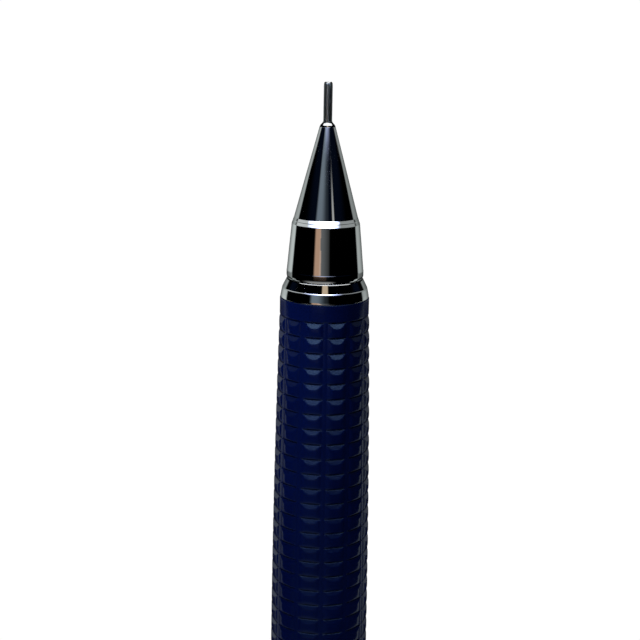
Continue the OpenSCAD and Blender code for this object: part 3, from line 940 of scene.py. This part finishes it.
def low_cards(net, turn, elev):
    """Dark room below, then the pale table seen from high angles."""
    room = net.times(net.ramp(elev, over=(-18.0, -13.8), to=FALLING),
                     net.ramp(elev, over=(-48.0, -31.0)),
                     net.window(turn, (-60.0, 18.0), soft=14.0))
    table = net.times(net.ramp(elev, over=(-48.0, -31.0), to=FALLING),
                      net.window(turn, (-75.0, 28.0), soft=14.0))
    return [(room, (0.95, 1.0, 1.05), 0.065), (table, (1.0, 0.99, 0.96), 0.34)]


def studio():
    world = bpy.data.worlds.new("studio")
    scene.world = world
    world.use_nodes = True
    net = NodeNet(world.node_tree)
    ray_x, ray_y, ray_z = net.split(net.node("TexCoord").outputs["Generated"])
    # the cards stand round the object with the camera, so that every side is lit like the front
    look = net.node("VectorTransform", {0: (0.0, 0.0, 1.0)}, vector_type="VECTOR",
                    convert_from="CAMERA", convert_to="WORLD")
    look_x, look_y, _ = net.split(look.outputs[0])
    x = net.math("SUBTRACT", net.times(ray_x, look_y), net.times(ray_y, look_x))
    y = net.math("ADD", net.times(ray_x, look_x), net.times(ray_y, look_y))
    degrees = 180 / math.pi
    turn = net.times(net.math("ARCTAN2", x, net.times(y, -1.0)), degrees)
    elev = net.times(net.math("ARCSINE", ray_z), degrees)
    away = net.math("ABSOLUTE", turn)

    total = None
    for mask, color, strength in (wall_cards(net, turn, away, elev) + front_cards(net, turn, elev)
                                  + lamp_cards(net, turn, away, elev)
                                  + low_cards(net, turn, elev)):
        glow = net.mix(1.0, (0, 0, 0), tuple(c * strength for c in color))
        lit = net.node("VectorMath", {0: glow, "Scale": mask}, operation="SCALE").outputs[0]
        if total is None:
            total = lit
        else:
            total = net.node("VectorMath", {0: total, 1: lit}, operation="ADD").outputs[0]

    def background(color, strength=1.0):
        return net.node("Background", {0: color, 1: strength}).outputs[0]

    fill = net.mix(net.ramp(ray_z, over=(-0.4, 0.9)), (0.055, 0.055, 0.062), (0.16, 0.165, 0.17))
    path = net.node("LightPath").outputs
    unseen = net.blend(path["Is Glossy Ray"], background(fill), background(total))
    white = background((1, 1, 1), WHITE_LEVEL)
    net.output(net.blend(path["Is Camera Ray"], unseen, white), "OutputWorld")


studio()


# ------------------------------------------------------------------ lamps

def add_lamp(name, kind, loc, direction, **settings):
    lamp = bpy.data.lights.new(name, kind)
    for key, value in settings.items():
        setattr(lamp, key, value)
    ob = bpy.data.objects.new(name, lamp)
    scene.collection.objects.link(ob)
    ob.location = loc
    ob.rotation_mode = "QUATERNION"
    ob.rotation_quaternion = direction.to_track_quat("-Z", "Y")
    ob.visible_glossy = False
    ob.visible_camera = False


def area(name, loc, size, energy):
    """A square lamp aimed at the middle of the pencil."""
    direction = np.array([0.0, 0.0, 0.1]) - np.array(loc)
    add_lamp(name, "AREA", loc, Vector(direction / np.linalg.norm(direction)),
             shape="RECTANGLE", size=size, size_y=size, energy=energy)


SPOT_AT = (-0.25, -0.32, 0.30)
add_lamp("front_spot", "SPOT", SPOT_AT, Vector((0.0, 0.0, 0.155)) - Vector(SPOT_AT),
         energy=14.5, spot_size=2 * math.radians(7.8), spot_blend=1.0, shadow_soft_size=0.05)
area("soft_key", loc=(-0.45, -0.40, 0.60), size=0.4, energy=0.6)
area("soft_back", loc=(0.20, 0.60, 0.45), size=0.5, energy=3.0)
area("soft_fill", loc=(0.55, -0.1, 0.5), size=0.5, energy=0.5)

# ------------------------------------------------------------------ camera

CAM_DISTANCE = 131.90             # from the pencil's axis
CAM_HEIGHT = 152.58
CAM_AROUND = math.radians(12.97)  # turn about Z, away from -Y
CAM_TILT, CAM_YAW, CAM_ROLL = -0.2267, -0.0029, 0.0174   # radians


def camera():
    cos_tilt, sin_tilt = math.cos(CAM_TILT), math.sin(CAM_TILT)
    cos_yaw, sin_yaw = math.cos(CAM_YAW), math.sin(CAM_YAW)
    cos_roll, sin_roll = math.cos(CAM_ROLL), math.sin(CAM_ROLL)
    forward = np.array([sin_yaw * cos_tilt, cos_yaw * cos_tilt, sin_tilt])
    level = np.array([cos_yaw, -sin_yaw, 0.0])
    upright = np.cross(level, forward)
    right = level * cos_roll + upright * sin_roll
    up = -level * sin_roll + upright * cos_roll
    loc = np.array([0.0, -CAM_DISTANCE, CAM_HEIGHT]) * MM
    c, s = math.cos(CAM_AROUND), math.sin(CAM_AROUND)
    around = np.array([[c, -s, 0], [s, c, 0], [0, 0, 1]])
    columns = around @ np.column_stack((right, up, -forward, loc))
    cam = bpy.data.cameras.new("camera")
    cam.lens = 82.14
    cam.sensor_width = 36.0
    cam.clip_start, cam.clip_end = 0.005, 20.0
    ob = bpy.data.objects.new("camera", cam)
    scene.collection.objects.link(ob)
    ob.matrix_world = Matrix([*columns.tolist(), (0.0, 0.0, 0.0, 1.0)])
    scene.camera = ob


camera()
scene.view_settings.view_transform = "Standard"
scene.view_settings.look = "None"
scene.cycles.use_denoising = True
